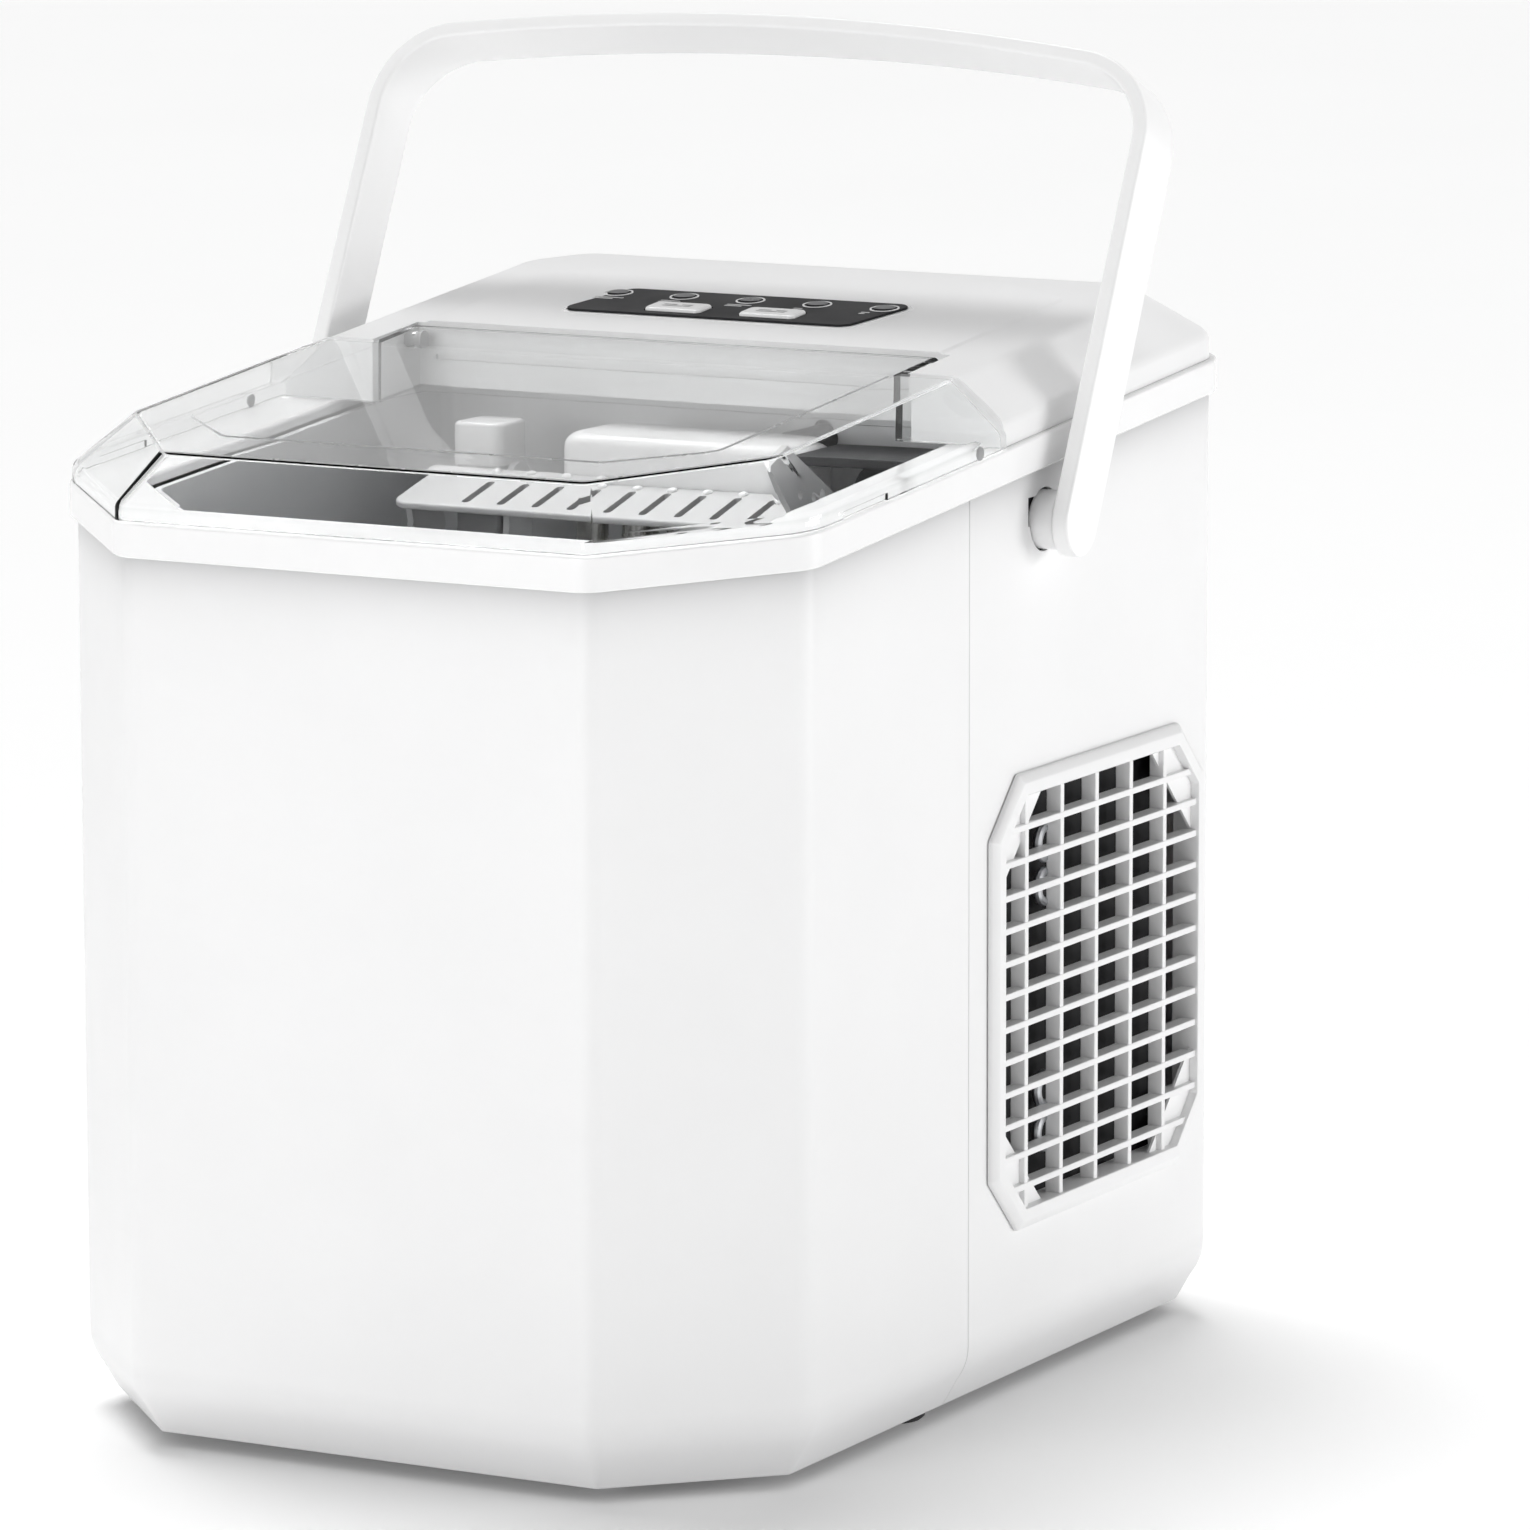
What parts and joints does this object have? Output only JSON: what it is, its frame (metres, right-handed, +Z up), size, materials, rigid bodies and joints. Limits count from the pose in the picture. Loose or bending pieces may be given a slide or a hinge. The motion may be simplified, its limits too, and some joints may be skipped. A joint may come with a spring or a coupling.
{
  "type": "countertop ice maker",
  "caption": "Compact countertop bullet-ice maker: eight-sided white casing, clear hinged lid over the ice tub, sloping control panel, side air grilles and a swinging carry handle.",
  "frame": {"origin": "on the ground, under the middle of the machine's footprint", "axes": "+Z up, -Y towards the front where the clear lid opens, +X to the right of someone facing the front from behind it, along the handle's pivot"},
  "size_m": [0.245, 0.3102, 0.3667],
  "materials": {
    "white_plastic": "satin moulded",
    "gloss_white": "glossy moulded",
    "clear": "clear polished plastic",
    "panel_grey": "printed film",
    "black_plastic": "satin moulded",
    "grey_plastic": "satin moulded",
    "pale_grey": "satin moulded",
    "rubber": "matt",
    "steel": "zinc plated",
    "nickel": "nickel plated",
    "copper": "drawn copper",
    "black_steel": "satin paint",
    "board_green": "circuit board",
    "silicone": "translucent silicone"
  },
  "bodies": {
    "casing": {"front_shell": "white_plastic", "rear_shell": "white_plastic", "control_housing": "white_plastic", "grille_left": "white_plastic", "grille_right": "white_plastic", "tray_bearing": "white_plastic", "evaporator_cover": "white_plastic", "rim_frame": "gloss_white", "control_panel": "panel_grey", "light_guide": "panel_grey", "base_plate": "black_plastic", "tray_motor": "black_plastic", "evaporator_bracket": "black_plastic", "water_pump": "black_plastic", "fan_shroud": "black_plastic", "power_inlet": "black_plastic", "shovel_rail_left": "grey_plastic", "shovel_rail_right": "grey_plastic", "tub_liner": "pale_grey", "splash_panel": "pale_grey", "foot_front_right": "rubber", "foot_front_left": "rubber", "foot_middle_right": "rubber", "foot_middle_left": "rubber", "foot_rear_right": "rubber", "foot_rear_left": "rubber", "compressor_mount_1": "rubber", "compressor_mount_2": "rubber", "compressor_mount_3": "rubber", "suction_tube": "rubber", "base_screw_1": "steel", "base_screw_2": "steel", "base_screw_3": "steel", "base_screw_4": "steel", "fan_motor": "steel", "bulkhead": "steel", "evaporator": "nickel", "discharge_tube": "copper", "filter_drier": "copper", "compressor": "black_steel", "condenser": "black_steel", "control_board": "board_green", "water_hose": "silicone"},
    "lid": {"lid": "clear", "lid_pin_left": "grey_plastic", "lid_pin_right": "grey_plastic"},
    "handle": {"handle": "white_plastic", "handle_hub_left": "white_plastic", "handle_hub_right": "white_plastic"},
    "button_left": {"button_left": "gloss_white"},
    "button_right": {"button_right": "gloss_white"},
    "shovel": {"ice_shovel": "white_plastic"},
    "tray": {"water_tray": "pale_grey"},
    "basket": {"ice_basket": "grey_plastic"},
    "fan": {"fan_rotor": "black_plastic"},
    "drain": {"drain_cap": "black_plastic"}
  },
  "joints": [
    {"name": "lid_hinge", "type": "hinge", "parent": "casing", "child": "lid", "pos_m": [0, 0.015, 0.277], "axis": [-1, 0, 0], "range_deg": [0, 100]},
    {"name": "handle_pivot", "type": "hinge", "parent": "casing", "child": "handle", "pos_m": [0, 0.0222, 0.2394], "axis": [1, 0, 0], "range_deg": [-38, 94]},
    {"name": "button_left_press", "type": "slide", "parent": "casing", "child": "button_left", "axis": [0, 0, -1], "range_m": [0, 0.001], "stiffness_N_per_m": 400},
    {"name": "button_right_press", "type": "slide", "parent": "casing", "child": "button_right", "axis": [0, 0, -1], "range_m": [0, 0.001], "stiffness_N_per_m": 400},
    {"name": "tray_tilt", "type": "hinge", "parent": "casing", "child": "tray", "pos_m": [0, 0.01, 0.24], "axis": [1, 0, 0], "range_deg": [0, 45]},
    {"name": "shovel_push", "type": "slide", "parent": "casing", "child": "shovel", "axis": [0, -0.9659, -0.2588], "range_m": [0, 0.0181]},
    {"name": "basket_lift", "type": "slide", "parent": "casing", "child": "basket", "axis": [0, 0, 1], "range_m": [0, 0.036]},
    {"name": "fan_spin", "type": "hinge", "parent": "casing", "child": "fan", "pos_m": [0.07, 0.05, 0.108], "axis": [1, 0, 0], "continuous": true},
    {"name": "drain_cap_turn", "type": "hinge", "parent": "casing", "child": "drain", "pos_m": [0, -0.075, 0.004], "axis": [0, 0, 1], "range_deg": [0, 90]}
  ],
  "couplings": [
    {"joint": "shovel_push", "follows": "tray_tilt", "m_per_rad": 0.022918}
  ]
}
